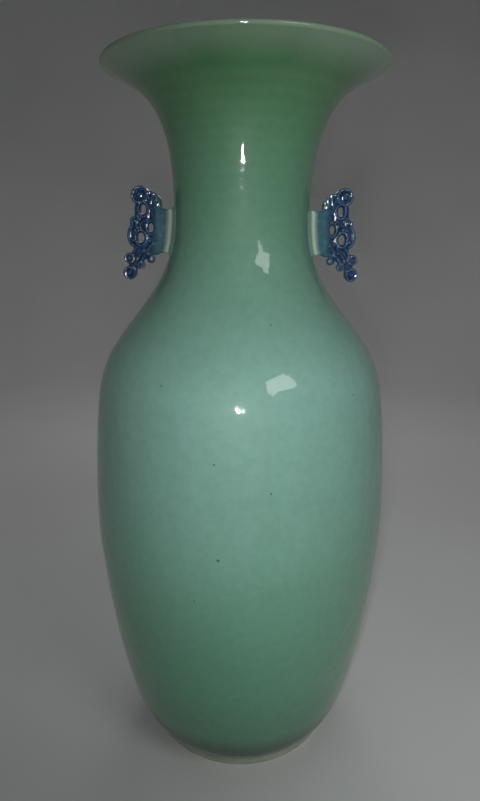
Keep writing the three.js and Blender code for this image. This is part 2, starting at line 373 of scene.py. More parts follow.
FAR = 1e3  # a distance greater than any in the handles
PEARL_FILLET = 0.35
PINCH_FILL = -0.02  # the distance given to a grid point that is filled to widen a pinch
ROUND_STEPS = 40  # in a spiral or a ring
SMOOTHING = 2  # rounds, as are the next two
HOLLOW_REACH = 11
HOLLOW_SMOOTHING = 2


def filleted(first, second, fillet):
    """The union of two distance fields, with a fillet where they meet."""
    blend = np.maximum(fillet - np.abs(first - second), 0) / fillet
    return np.minimum(first, second) - blend ** 2 * fillet / 4


class Clay:
    """Clay shapes as distances on a grid of points, negative inside, joined with soft fillets.
    Shapes are drawn in X and Z, in millimetres, and are alike in front and behind."""

    def __init__(self, low, high, step):
        self.low, self.step = np.array(low, float), step
        axes = [np.arange(a, b + step, step) for a, b in zip(low, high)]
        self.x, self.z = np.meshgrid(axes[0], axes[2], indexing="ij")
        self.y = np.abs(axes[1])[None, :, None]
        self.field = np.full([len(axis) for axis in axes], FAR)

    def join(self, field, fillet=0.9):
        """Adds a shape, with a fillet where it meets what is there."""
        self.field = filleted(self.field, field, fillet)

    def remove(self, field, fillet=0.6):
        """Cuts a shape away, with a rounded edge."""
        self.field = -filleted(-self.field, field, fillet)

    def to_line(self, a, b):
        """For a line from a to b, the share of the way along it and the flat distance to it."""
        run = b - a
        t = ((self.x - a[0]) * run[0] + (self.z - a[1]) * run[1]) / max(run @ run, 1e-9)
        t = np.clip(t, 0, 1)
        return t, np.hypot(self.x - a[0] - t * run[0], self.z - a[1] - t * run[1])

    def slab(self, flat, half_depth, round_edge):
        """Gives depth to a flat distance, with rounded edges."""
        side = flat[:, None, :] + round_edge
        front = self.y - half_depth + round_edge
        outside = np.hypot(np.maximum(side, 0), np.maximum(front, 0))
        return outside + np.minimum(np.maximum(side, front), 0) - round_edge

    def strand(self, points, width, half_depth, end_width=None):
        """A rounded bar along a flat line, thinning or swelling to `end_width`."""
        points = np.asarray(points, float)
        widths = np.linspace(width, width if end_width is None else end_width, len(points)) / 2
        best = np.full(self.x.shape, FAR)
        radius = np.zeros(self.x.shape)
        for a, b, start, end in zip(points[:-1], points[1:], widths[:-1], widths[1:]):
            t, away = self.to_line(a, b)
            here = start + (end - start) * t
            closer = away - here < best - radius
            best = np.where(closer, away, best)
            radius = np.where(closer, here, radius)
        over = np.maximum(self.y - np.maximum(half_depth - radius[:, None, :], 0), 0)
        return np.hypot(best[:, None, :], over) - radius[:, None, :]

    def add_bead(self, centre, radius, top, fillet=0.6):
        """Adds a ball to both faces, whose highest point lies `top` from the middle."""
        near = radius + 2 * fillet
        i = slice(*np.searchsorted(self.x[:, 0], (centre[0] - near, centre[0] + near)))
        k = slice(*np.searchsorted(self.z[0], (centre[1] - near, centre[1] + near)))
        away = np.hypot(self.x[i, k] - centre[0], self.z[i, k] - centre[1])[:, None, :]
        ball = np.hypot(away, self.y - top + radius) - radius
        self.field[i, :, k] = filleted(self.field[i, :, k], ball, fillet)

    def add_pearls(self, line, spacing, radius, top):
        """Adds a row of small beads along a flat line."""
        line = np.asarray(line, float)
        along = np.concatenate([[0], np.cumsum(np.linalg.norm(np.diff(line, axis=0), axis=1))])
        for place in np.arange(spacing / 2, along[-1], spacing):
            centre = [np.interp(place, along, line[:, k]) for k in (0, 1)]
            self.add_bead(centre, radius, top, PEARL_FILLET)

    def outline(self, points):
        """Flat distance to a closed outline."""
        points = np.asarray(points, float)
        away = np.full(self.x.shape, FAR)
        inside = np.zeros(self.x.shape, bool)
        for a, b in zip(points, np.roll(points, -1, axis=0)):
            run = b - a
            away = np.minimum(away, self.to_line(a, b)[1])
            crosses = (a[1] > self.z) != (b[1] > self.z)
            edge = a[0] + (self.z - a[1]) * run[0] / (run[1] if run[1] else 1e-9)
            inside ^= crosses & (self.x < edge)
        return np.where(inside, -away, away)

    def rectangle(self, low, high):
        """Flat distance to a rectangle."""
        across = np.abs(self.x - (low[0] + high[0]) / 2) - (high[0] - low[0]) / 2
        up = np.abs(self.z - (low[1] + high[1]) / 2) - (high[1] - low[1]) / 2
        outside = np.hypot(np.maximum(across, 0), np.maximum(up, 0))
        return outside + np.minimum(np.maximum(across, up), 0)

    def oval(self, centre, radii):
        """Flat distance to an ellipse, true near its edge."""
        x, z = (self.x - centre[0]) / radii[0], (self.z - centre[1]) / radii[1]
        size = np.hypot(x, z) + 1e-9
        slope = np.hypot(x / radii[0], z / radii[1]) / size
        return (size - 1) / np.maximum(slope, 1e-9)

    def unpinch(self):
        """Fills grid points until no clay meets clay across a diagonal, where a mesh pinches."""
        pinched = True
        while pinched:
            pinched = False
            for u, v in ((0, 1), (1, 2), (2, 0)):
                corner = {}
                for side in np.ndindex(2, 2):
                    part = [slice(None)] * 3
                    part[u] = slice(side[0], side[0] - 1 or None)
                    part[v] = slice(side[1], side[1] - 1 or None)
                    corner[side] = self.field[tuple(part)]
                a, b, c, d = (corner[side] < 0 for side in ((0, 0), (1, 1), (0, 1), (1, 0)))
                for bare, filled in ((a & b & ~c & ~d, (0, 1)), (c & d & ~a & ~b, (0, 0))):
                    corner[filled][bare] = PINCH_FILL
                    pinched = pinched or bare.any()

    def mesh(self):
        """The surface: a point in each crossed cell, and a quad on each crossed edge."""
        self.unpinch()
        field, inside = self.field, self.field < 0
        cells = tuple(n - 1 for n in field.shape)
        total, count = np.zeros(cells + (3,)), np.zeros(cells)
        for axis in range(3):
            others = [k for k in range(3) if k != axis]
            for side in np.ndindex(2, 2):
                near = [slice(0, n) for n in cells]
                for k, shift in zip(others, side):
                    near[k] = slice(shift, cells[k] + shift)
                far = list(near)
                far[axis] = slice(1, cells[axis] + 1)
                a, b = field[tuple(near)], field[tuple(far)]
                crossed = (a < 0) != (b < 0)
                t = np.where(crossed, a / np.where(crossed, a - b, 1), 0)
                total[..., axis] += np.where(crossed, t, 0)
                for k, shift in zip(others, side):
                    total[..., k] += crossed * shift
                count += crossed
        used = count > 0
        number = np.full(cells, -1)
        number[used] = np.arange(used.sum())
        base = np.argwhere(used)
        points = self.low + self.step * (base + total[used] / count[used][:, None])
        quads = []
        for axis in range(3):
            u, v = (axis + 1) % 3, (axis + 2) % 3
            near = [slice(1, n - 1) for n in field.shape]
            near[axis] = slice(0, cells[axis])
            far = list(near)
            far[axis] = slice(1, cells[axis] + 1)
            crossed = inside[tuple(near)] != inside[tuple(far)]
            where = np.argwhere(crossed)
            for k in (u, v):
                where[:, k] += 1
            corner = []
            for du, dv in ((-1, -1), (0, -1), (0, 0), (-1, 0)):
                cell = where.copy()
                cell[:, u] += du
                cell[:, v] += dv
                corner.append(number[tuple(cell.T)])
            quad = np.column_stack(corner)
            inward = inside[tuple(near)][crossed]
            quad[~inward] = quad[~inward][:, ::-1]
            quads.append(quad)
        return points, np.vstack(quads)


def smooth_mesh(points, quads):
    """Eases points towards their neighbours and gives back how hollow or proud each one lies."""
    edges = np.vstack([quads[:, [k, (k + 1) % 4]] for k in range(4)])
    edges = np.unique(np.sort(edges, axis=1), axis=0)
    degree = np.bincount(edges.ravel(), minlength=len(points))[:, None]

    def neighbours(values):
        ends, others = edges.ravel(), edges[:, ::-1].ravel()
        total = [np.bincount(ends, column[others], len(values)) for column in values.T]
        return np.column_stack(total) / degree

    for _ in range(SMOOTHING):
        points = points + 0.5 * (neighbours(points) - points)
    a, b, c = (points[quads[:, k]] for k in (0, 1, 2))
    facing = np.cross(b - a, c - a)
    normal = np.zeros_like(points)
    for k in range(4):
        for n in range(3):
            normal[:, n] += np.bincount(quads[:, k], facing[:, n], len(points))
    normal /= np.linalg.norm(normal, axis=1)[:, None] + 1e-12
    wide = points
    for _ in range(HOLLOW_REACH):
        wide = neighbours(wide)
    hollow = np.sum((wide - points) * normal, axis=1)[:, None]
    for _ in range(HOLLOW_SMOOTHING):
        hollow = neighbours(hollow)
    return points, hollow[:, 0]


def spline(points, steps=8, closed=False):
    """A smooth line through given points."""
    points = np.asarray(points, float)
    if closed:
        before, after = points[[-1]], points[:2]
        points = np.vstack([before, points, after])
    else:
        points = np.vstack([2 * points[0] - points[1], points, 2 * points[-1] - points[-2]])
    t = np.linspace(0, 1, steps, endpoint=False)[:, None]
    out = []
    for a, b, c, d in zip(points, points[1:], points[2:], points[3:]):
        square, cube = 2 * a - 5 * b + 4 * c - d, 3 * b - a - 3 * c + d
        out.append(0.5 * (2 * b + (c - a) * t + square * t ** 2 + cube * t ** 3))
    if not closed:
        out.append(points[-2][None, :])
    return np.vstack(out)


def spiral(centre, outer, inner, start, turns):
    """A flat spiral. `start` is in degrees, and negative turns run clockwise."""
    t = np.linspace(0, 1, ROUND_STEPS)
    radius = outer + (inner - outer) * t
    return turned(centre, radius, radius, math.radians(start) + 2 * math.pi * turns * t)


def ring(centre, radii):
    return turned(centre, *radii, np.linspace(0, 2 * math.pi, ROUND_STEPS))


# ------------------------------------------------------------------ the handles

# The right-hand handle before it is raised or drifts: X and Z, as the CAD part has them.
PLATE_OUTLINE = [
    (67, 441), (66.6, 458), (67, 476), (70.5, 480), (76, 484), (82, 484), (86.4, 477.5),
    (86.8, 470), (88.7, 462), (90, 453), (88.2, 444), (90.6, 438), (92.6, 428), (87.4, 425.6),
    (83.5, 430), (79.5, 434.5), (74, 438.5),
]
SHOULDER_LEAF = [
    (65.2, 475.5), (65.2, 481), (67.4, 485), (71, 487.6), (75.6, 488.4), (77, 484), (75, 480),
    (72, 477), (69, 474.6),
]
OUTER_LEAF = [
    (86.2, 469), (89.4, 467.8), (90.5, 464.3), (90.5, 461.8), (92.6, 457.6), (93.3, 452.5),
    (91.2, 447.4), (88, 445.2), (87, 452), (86, 458), (85.6, 463),
]
HOLES = [((79.8, 474.4), (2.3, 3.8)), ((73.6, 460.3), (2.4, 3.5)), ((82.1, 452.4), (2.8, 4.0))]
CREST = ((82.2, 485.6), 7.6)
UPPER_SCROLL = ((91.8, 436.2), 4.8)
LOWER_SCROLL = ((91.7, 424.4), 6.0)
INNER_CURL = ((82.6, 430.2), 3.5)
PELLET = ((74.2, 435.4), 3.4)

RIBS = [  # on the leaf over the bracket
    [(68.6, 477.6), (67.2, 480), (66.4, 482.4)],
    [(71.0, 478.6), (69.7, 481.6), (68.8, 485)],
    [(73.2, 480.2), (72.4, 483.4), (72, 486.8)],
    [(75.4, 482), (75.1, 484.8), (75.2, 487.6)],
]
STRANDS = [  # line, width, half depth, end width
    ([(75.4, 483), (74.2, 479), (73.4, 474), (72.2, 469), (71.3, 465)], 2.6, 5.2, 2.2),
    ([(77.6, 481.6), (76, 477.6), (75.5, 472.6), (76.6, 468), (78.6, 465)], 2.6, 5.3, 2.0),
    ([(84.4, 469.5), (84.8, 465.5), (86.2, 461), (87.6, 456), (87.6, 451), (86.2, 447)],
     2.6, 5.3, 2.3),
    ([(86.4, 468), (89, 467), (89.3, 464.2), (88.6, 461.8)], 3.0, 5.3, 2.4),
    ([(89.6, 461), (91.2, 457.5), (91.6, 453), (90.3, 449), (88.2, 446.6)], 3.2, 5.4, 2.6),
    ([(71.4, 453), (74, 446.4), (77.4, 441), (80.6, 436.4), (82.8, 433)], 3.0, 5.2, 2.8),
    ([(76.6, 453.5), (78.2, 447.4), (81.8, 441), (85.2, 436.2), (87.8, 431), (89.4, 427)],
     3.1, 5.5, 2.6),
    ([(80.6, 446.6), (84.2, 441.6), (87.2, 437), (89.2, 433), (90.6, 429.8)], 2.8, 5.3, 2.4),
    ([(85, 446), (87.2, 442.6), (89, 439.4)], 3.0, 5.2, 2.6),
    ([(78.8, 467), (81.6, 463.4), (84.6, 462.8)], 2.4, 5.0, 2.0),
]
BEADS = [
    (76.6, 466.2), (77.9, 462.6), (75.4, 449.8), (79.4, 441.8), (76.8, 439.8), (88, 450.6),
    (86.6, 465.6), (82.2, 460.2), (85, 459.8), (85.3, 435.4), (83.2, 466.6), (72.4, 447.6),
    (69.4, 478.6), (79.6, 446.4),
]
LEAF_EDGE = [(66.2, 477), (66.4, 481), (68.4, 484.4), (71.6, 486.8), (75.2, 487.6)]
OUTER_EDGE = [(89.8, 461), (91.4, 457.5), (91.8, 453), (90.5, 449), (88.4, 446.6)]
PEARL_ROWS = [  # line, spacing, radius, top
    (ring(CREST[0], (6.1, 6.1)), 1.9, 0.85, 6.9),
    (ring(LOWER_SCROLL[0], (4.5, 4.5)), 1.9, 0.85, 6.7),
    (ring(UPPER_SCROLL[0], (3.4, 3.4)), 1.8, 0.8, 6.3),
    (ring(INNER_CURL[0], (2.4, 2.4)), 1.7, 0.7, 5.8),
    (ring(HOLES[0][0], (4.0, 5.8)), 1.9, 0.75, 6.3),
    (ring(HOLES[2][0], (4.5, 6.0)), 1.9, 0.75, 6.3),
    (spline(LEAF_EDGE), 1.8, 0.85, 5.3),
    (spline(OUTER_EDGE), 1.8, 0.75, 6.1),
]
BEAD_RADIUS = 1.2
BEAD_TOP = 5.9


COILS = [  # place, turns, start in degrees, width, half depth, eye
    (CREST, 1.3, -75, 2.8, 6.3, 2.2),
    (UPPER_SCROLL, -1.1, 205, 2.3, 5.7, 1.4),
    (LOWER_SCROLL, -1.2, 150, 2.6, 6.1, 1.7),
    (INNER_CURL, 0.9, 60, 1.9, 5.3, 1.2),
]
SLABS = [  # outline, half depth, round edge
    (PLATE_OUTLINE, 4.3, 1.5),
    (SHOULDER_LEAF, 4.5, 1.8),
    (OUTER_LEAF, 4.3, 1.8),
]
HOLE_RIM = {"width": 3.0, "half_depth": 5.6, "fillet": 0.9, "out": (1.5, 1.8)}
HOLE_EDGE = 1.6
RIB = {"width": 2.0, "half_depth": 5.2, "end_width": 1.6}
RIB_FILLET = 0.6
STRAND_FILLET = 0.8


def add_scroll(clay, place, turns, start, coil, half_depth, eye):
    """A disc with a raised coil that winds in to a round eye."""
    centre, radius = place
    clay.join(clay.slab(clay.oval(centre, (radius - 0.4, radius - 0.4)), half_depth - 1.1, 1.6))
    line = spiral(centre, radius - coil / 2, eye * 1.5, start, turns)
    clay.join(clay.strand(line, coil, half_depth, coil * 0.8), STRAND_FILLET)
    clay.add_bead(centre, eye * 1.8, half_depth + eye * 0.25, STRAND_FILLET)


def add_scrollwork(clay):
    """The plaque with its strands, leaves, curls, beads and pierced holes."""
    for outline, half_depth, edge in SLABS:
        clay.join(clay.slab(clay.outline(spline(outline, 4, True)), half_depth, edge))
    for centre, radii in HOLES:
        line = ring(centre, np.add(radii, HOLE_RIM["out"]))
        rim = clay.strand(line, HOLE_RIM["width"], HOLE_RIM["half_depth"])
        clay.join(rim, HOLE_RIM["fillet"])
    for line, width, half_depth, end_width in STRANDS:
        clay.join(clay.strand(spline(line, 5), width, half_depth, end_width), STRAND_FILLET)
    for line in RIBS:
        clay.join(clay.strand(spline(line, 4), **RIB), RIB_FILLET)
    for coil in COILS:
        add_scroll(clay, *coil)
    centre, radius = PELLET
    clay.join(clay.slab(clay.oval(centre, (radius, radius)), 3.9, 3.2))
    clay.add_bead(centre, 2.6, 4.8, 1.2)
    for centre in BEADS:
        clay.add_bead(centre, BEAD_RADIUS, BEAD_TOP)
    for row in PEARL_ROWS:
        clay.add_pearls(*row)
    for centre, radii in HOLES:
        hole = clay.oval(centre, radii)[:, None, :] + 0 * clay.field
        clay.remove(hole, HOLE_EDGE)


CLAY_BOX = ((50, -12.94, 415.5), (99.5, 12.94, 496))  # holds a whole handle
CLAY_STEP = 0.36
BRACKET_LOW = (50.0, 440.5)
BRACKET_HIGH = (70.4, 475.0)
BRACKET_ROUND = 1.9
BRACKET_ROOT = 58  # about where the bracket leaves the neck
BRACKET_DEPTH = 6.6  # half of its depth there
BRACKET_TAPER = 0.09
BRACKET_BLEND = 3.4
BRACKET_BED = 2.2  # how far the bracket runs on under the neck's surface
LUTING = 67.6  # where the scrollwork was luted to the bracket
ON_CUT = 1e-3  # points this near to the cut lie on it
WELD = 1e-4
SLIP_FILLET = 4.4
SLIP_BED = 0.35  # how far the slip's root lies under the neck's surface


def handle_clay(side):
    """A whole handle: scrollwork, the block that carries it, and the slip that holds the block."""
    clay = Clay(*CLAY_BOX, CLAY_STEP)
    depth = BRACKET_DEPTH - BRACKET_TAPER * (clay.x - BRACKET_ROOT)
    flat = clay.rectangle(BRACKET_LOW, BRACKET_HIGH)
    block = clay.slab(flat, depth[:, None, :], BRACKET_ROUND)
    neck_radius = WALL.radius(clay.z + HANDLE_RISE[side])[:, None, :]
    neck = np.hypot(clay.x[:, None, :], clay.y) - neck_radius
    add_scrollwork(clay)
    clay.join(block, BRACKET_BLEND)
    slip = np.maximum(neck + SLIP_BED, block - SLIP_FILLET)
    clay.join(slip, SLIP_FILLET)
    clay.field = np.maximum(clay.field, -(neck + BRACKET_BED))
    return clay


def place_handle(side, points):
    """Carries points from the nominal right-hand handle to their own side, height and drift."""
    points = points.copy()
    if side == "left":
        points[:, :2] *= -1
    points[:, 2] += HANDLE_RISE[side]
    points[:, 0] += drift(points[:, 2])
    return points


def cut_apart(points, quads, hollow, place):
    """Cuts a surface in two at an X and closes both parts, which keep the whole one's normals."""
    whole = bmesh.new()
    for point in points:
        whole.verts.new(point)
    whole.verts.ensure_lookup_table()
    layer = whole.verts.layers.float.new("hollow")
    for vertex, value in zip(whole.verts, hollow):
        vertex[layer] = value
    for quad in quads:
        whole.faces.new([whole.verts[k] for k in quad])
    everything = whole.verts[:] + whole.edges[:] + whole.faces[:]
    plane = {"plane_co": (place, 0, 0), "plane_no": (1, 0, 0)}
    bmesh.ops.bisect_plane(whole, geom=everything, dist=WELD, **plane)
    whole.normal_update()
    normals = {v.co[:]: v.normal[:] for v in whole.verts if abs(v.co.x - place) < ON_CUT}
    for side in (1, -1):
        part = whole.copy()
        beyond = [v for v in part.verts if side * (v.co.x - place) > ON_CUT]
        bmesh.ops.delete(part, geom=beyond, context="VERTS")
        rim = [edge for edge in part.edges if edge.is_boundary]
        bmesh.ops.holes_fill(part, edges=rim, sides=0)
        part.normal_update()
        shading = [normals.get(v.co[:], v.normal[:]) for v in part.verts]
        layer = part.verts.layers.float["hollow"]
        places = np.array([v.co[:] for v in part.verts])
        yield part, shading, places, np.array([v[layer] for v in part.verts])
    whole.free()


def clay_object(name, side, part, shading, points, hollow):
    """Makes a handle piece from one part of its cut surface."""
    mesh = bpy.data.meshes.new(name)
    part.to_mesh(mesh)
    part.free()
    placed = place_handle(side, points)
    mesh.vertices.foreach_set("co", (placed * MM).ravel())
    mesh.polygons.foreach_set("use_smooth", [True] * len(mesh.polygons))
    mesh.update()
    facing = np.array(shading) * ((-1, -1, 1) if side == "left" else (1, 1, 1))
    mesh.normals_split_custom_set_from_vertices(facing.tolist())
    obj = link(bpy.data.objects.new(name, mesh))
    mesh.attributes.remove(mesh.attributes["hollow"])
    point_attribute(obj, "hollow", hollow)
    neck_radius = WALL.radius(points[:, 2] + HANDLE_RISE[side])
    point_attribute(obj, "off_neck", np.hypot(points[:, 0], points[:, 1]) - neck_radius)
    return obj


# ------------------------------------------------------------------ materials

def srgb(red, green, blue):
    """An sRGB colour, 0 to 255, as a linear RGBA one."""
    linear = []
    for value in (red, green, blue):
        value = value / 255
        linear.append(value / 12.92 if value <= 0.04045 else ((value + 0.055) / 1.055) ** 2.4)
    return (*linear, 1.0)


class Recipe:
    """A material being put together from shader nodes."""

    def __init__(self, name):
        self.material = bpy.data.materials.new(name)
        self.material.use_nodes = True
        self.tree = self.material.node_tree
        self.tree.nodes.clear()
        self.place = self.node("TexCoord").outputs["Object"]
        self.height = self.node("SeparateXYZ", Vector=self.place).outputs["Z"]

    def feed(self, socket, value):
        """Links a node's output to a socket, or sets the socket to a constant."""
        if isinstance(value, bpy.types.NodeSocket):
            self.tree.links.new(value, socket)
        else:
            socket.default_value = value

    def node(self, kind, settings=None, **inputs):
        """Adds a node. Its inputs are given by name, with _ for a space."""
        node = self.tree.nodes.new("ShaderNode" + kind)
        for key, value in (settings or {}).items():
            setattr(node, key, value)
        for key, value in inputs.items():
            self.feed(node.inputs[key.replace("_", " ")], value)
        return node

    def math(self, operation, first, second):
        node = self.node("Math", {"operation": operation})
        self.feed(node.inputs[0], first)
        self.feed(node.inputs[1], second)
        return node.outputs[0]

    def mix(self, share, first, second):
        node = self.node("Mix", {"data_type": "RGBA"})
        self.feed(node.inputs[0], share)
        self.feed(node.inputs[6], first)
        self.feed(node.inputs[7], second)
        return node.outputs[2]

    def span(self, value, low, high, start=0.0, end=1.0):
        """A smooth step from `start` to `end` as the value goes from `low` to `high`."""
        ends = {"From_Min": low, "From_Max": high, "To_Min": start, "To_Max": end}
        smooth = {"interpolation_type": "SMOOTHSTEP"}
        return self.node("MapRange", smooth, Value=value, **ends).outputs[0]

    def attribute(self, name):
        return self.node("Attribute", {"attribute_name": name}).outputs["Fac"]

    def stretched(self, x, y, z):
        """The place on the object with each axis scaled."""
        point = {"vector_type": "POINT"}
        return self.node("Mapping", point, Vector=self.place, Scale=(x, y, z)).outputs[0]

    def noise(self, scale, detail=3.0, roughness=0.5, vector=None):
        look = {"Scale": scale, "Detail": detail, "Roughness": roughness}
        return self.node("TexNoise", None, Vector=vector or self.place, **look).outputs[0]

    def wander(self, amount, scale, roughness=0.5):
        """Noise about zero, from half of `amount` below it to half above."""
        even = self.math("SUBTRACT", self.noise(scale, 3.0, roughness), 0.5)
        return self.math("MULTIPLY", even, amount)

    def dots(self, per_metre, size, chance):
        """Sparse round specks: 1 inside each speck. `size` is a share of the spacing."""
        cell = self.node("TexVoronoi", {"feature": "F1"}, Vector=self.place, Scale=per_metre)
        spot = self.span(cell.outputs["Distance"], size, size * 0.6)
        pick = self.node("SeparateColor", Color=cell.outputs["Color"]).outputs[0]
        return self.math("MULTIPLY", spot, self.math("LESS_THAN", pick, chance))

    def spot(self, bearing, height, radius):
        """A soft round spot on the wall at a bearing and height, in degrees and millimetres."""
        turn = math.radians(bearing)
        out = float(WALL.radius(height)) * MM
        node = self.node("VectorMath", {"operation": "DISTANCE"})
        self.feed(node.inputs[0], self.place)
        self.feed(node.inputs[1], (out * math.sin(turn), -out * math.cos(turn), height * MM))
        return self.span(node.outputs["Value"], radius * MM, radius * MM * 0.45, 0, 0.72)

    def bump(self, height, distance, strength=1.0, normal=None):
        node = self.node("Bump", Height=height, Distance=distance, Strength=strength)
        if normal is not None:
            self.feed(node.inputs["Normal"], normal)
        return node.outputs[0]

    def levelled(self, amount):
        """The surface's normal turned to the front or the back, as where thick glaze levels out."""
        scaled = self.node("VectorMath", {"operation": "MULTIPLY"})
        self.feed(scaled.inputs[0], self.node("NewGeometry").outputs["Normal"])
        self.feed(scaled.inputs[1], (1.0, amount, 1.0))
        unit = self.node("VectorMath", {"operation": "NORMALIZE"})
        self.feed(unit.inputs[0], scaled.outputs[0])
        return unit.outputs[0]

    def finish(self, **inputs):
        """Ends the recipe in one shader and gives back its material."""
        shader = self.node("BsdfPrincipled", None, **inputs)
        self.node("OutputMaterial", None, Surface=shader.outputs[0])
        return self.material


def glassy(body, coat, roughness, haze):
    """The settings that every glaze shares: a hazy body under a smooth glassy coat."""
    return {
        "Roughness": 0.5, "Specular_IOR_Level": haze, "Normal": body,
        "Coat_Weight": 1.0, "Coat_Roughness": roughness, "Coat_IOR": 1.5, "Coat_Normal": coat,
    }


def orange_peel(recipe, amount=1.0, normal=None):
    """The faint dimpling and slow waviness of a fired glaze."""
    fine = recipe.noise(900, 2.0, 0.4)
    slow = recipe.noise(45, 2.0, 0.5)
    first = recipe.bump(fine, 0.00001 * amount, 1.0, normal)
    return recipe.bump(slow, 0.0006 * amount, 1.0, first)


CELADON = srgb(140, 186, 173)
CELADON_DEEP = srgb(128, 174, 156)
CELADON_COOL = srgb(148, 192, 184)
# Greener glaze of the neck, darkened with painted shade
CELADON_NECK_GREEN_AND_SHADE = srgb(96, 146, 114)
# Greener glaze of the flare, darkened with painted shade
CELADON_FLARE_GREEN_AND_SHADE = srgb(74, 126, 74)
# Greener glaze low down, lightened with painted light
CELADON_LOW_GREEN_AND_LIGHT = srgb(100, 168, 130)
CELADON_POOL = srgb(12, 64, 38)
THIN_GLAZE = srgb(150, 174, 150)
IRON = srgb(44, 52, 40)
IRON_SPOTS = [  # bearing in degrees from the front, height, radius in millimetres
    (-29.5, 353.0, 0.9), (-8.4, 302.4, 1.0), (10.0, 281.1, 1.0), (-7.1, 230.2, 1.5),
    (15.0, 393.8, 0.9), (45.4, 341.8, 0.8), (-15.6, 194.2, 0.8), (122.0, 262.0, 1.2),
    (-140.0, 318.0, 0.9), (171.0, 171.0, 1.1), (-78.0, 240.0, 0.9), (83.0, 128.0, 1.0),
]


def celadon_glaze():
    """Pale bluish green, deeper and yellower on the neck and low down, thin and pale on the lip,
    and pooled at the foot. Painted shade darkens the neck and, more, the flare, and painted
    light lightens the low body."""
    r = Recipe("celadon_glaze")
    cloud = r.noise(9, 2.0, 0.5)
    streak = r.noise(1.0, 4.0, 0.6, r.stretched(38, 38, 7))
    mottle = r.noise(140, 4.0, 0.6)
    color = r.mix(r.span(cloud, 0.25, 0.75, 0.45, 1.0), CELADON_DEEP, CELADON)
    color = r.mix(r.span(streak, 0.45, 0.75, 0, 0.3), color, CELADON_COOL)
    # The neck: greener glaze, and painted shade darkening it
    color = r.mix(r.span(r.height, 0.34, 0.50, 0, 0.95), color, CELADON_NECK_GREEN_AND_SHADE)
    # The flare: greener still, with more painted shade
    color = r.mix(r.span(r.height, 0.49, 0.57, 0, 0.75), color, CELADON_FLARE_GREEN_AND_SHADE)
    # Low down: greener glaze, lightened with painted light
    color = r.mix(r.span(r.height, 0.33, 0.08, 0, 0.8), color, CELADON_LOW_GREEN_AND_LIGHT)
    look = {"Scale": 38.0, "Distortion": 2.2, "Detail": 2.0}
    rings = r.node("TexWave", {"bands_direction": "Z"}, Vector=r.place, **look).outputs["Fac"]
    color = r.mix(r.math("MULTIPLY", rings, 0.06), color, CELADON_DEEP)
    color = r.mix(r.span(mottle, 0.34, 0.70, 0, 0.09), color, CELADON_POOL)
    uneven = r.wander(0.008, 26, 0.6)
    from_lip = r.math("ADD", r.attribute("from_lip"), uneven)
    color = r.mix(r.span(from_lip, 0.030, 0.003, 0, 0.75), color, THIN_GLAZE)
    foot = r.math("ADD", r.height, uneven)
    color = r.mix(r.span(foot, 0.110, 0.045, 0, 0.2), color, CELADON_POOL)
    color = r.mix(r.span(foot, 0.052, 0.021), color, CELADON_POOL)
    for bearing, height, radius in IRON_SPOTS:
        color = r.mix(r.spot(bearing, height, radius), color, IRON)
    fine = r.math("MULTIPLY", r.dots(210, 0.05, 0.07), 0.4)
    color = r.mix(fine, color, IRON)
    pits = r.math("MULTIPLY", r.dots(160, 0.09, 0.10), -1.0)
    body = r.bump(rings, 0.00002, 1.0, r.bump(cloud, 0.0006))
    coat = r.bump(pits, 0.0002, 1.0, orange_peel(r))
    roughness = r.span(r.noise(60), 0.3, 0.7, 0.035, 0.075)
    return r.finish(Base_Color=color, **glassy(body, coat, roughness, 0.25))


BARE_CLAY = srgb(222, 212, 190)
BARE_CLAY_WARM = srgb(206, 186, 152)
BARE_CLAY_GRAIN = srgb(168, 146, 112)
BARE_CLAY_SPECK = srgb(96, 78, 52)
BAND_COOL = srgb(150, 168, 152)
BAND_PALE = srgb(170, 184, 164)
GLAZE_LINE = srgb(96, 100, 78)  # where the glaze ends


def bare_porcelain():
    """The foot: a thin glazed band above, bare clay toasted by the kiln where it rests."""
    r = Recipe("bare_porcelain")
    grain = r.noise(700, 4.0, 0.65)
    cloud = r.noise(35, 3.0, 0.6)
    clay = r.mix(r.span(cloud, 0.35, 0.7), BARE_CLAY, BARE_CLAY_WARM)
    clay = r.mix(r.span(grain, 0.5, 0.75, 0, 0.35), clay, BARE_CLAY_GRAIN)
    band = r.mix(r.span(cloud, 0.3, 0.7), BAND_COOL, BAND_PALE)
    edge = r.math("ADD", r.height, r.wander(0.0012, 90))
    glazed = r.span(edge, 0.0011, 0.0016)
    line = r.math("MULTIPLY", r.span(edge, 0.0006, 0.0011), r.span(edge, 0.0019, 0.0013))
    color = r.mix(glazed, clay, band)
    color = r.mix(r.math("MULTIPLY", line, 0.35), color, GLAZE_LINE)
    color = r.mix(r.dots(260, 0.10, 0.10), color, BARE_CLAY_SPECK)
    roughness = r.math("SUBTRACT", 0.85, r.math("MULTIPLY", glazed, 0.4))
    return r.finish(
        Base_Color=color, Roughness=roughness, Normal=r.bump(grain, 0.00012, 0.8),
        Coat_Weight=glazed, Coat_Roughness=0.09, Coat_IOR=1.5, Coat_Normal=orange_peel(r),
    )


COBALT = srgb(16, 62, 108)
COBALT_DARK = srgb(8, 42, 82)
# Pooled glaze in the recesses, darkened further as painted shade; also the dark specks
COBALT_POOL_AND_SHADE = srgb(2, 14, 34)
# Milky glaze on the ridges, lightened further as painted highlight; also the pale speckle
COBALT_PALE_AND_HIGHLIGHT = srgb(104, 146, 184)
COBALT_THIN = srgb(58, 102, 116)
COBALT_MILK = srgb(116, 150, 160)
CREAM = srgb(182, 200, 184)
SLIP_GREEN = srgb(128, 162, 140)


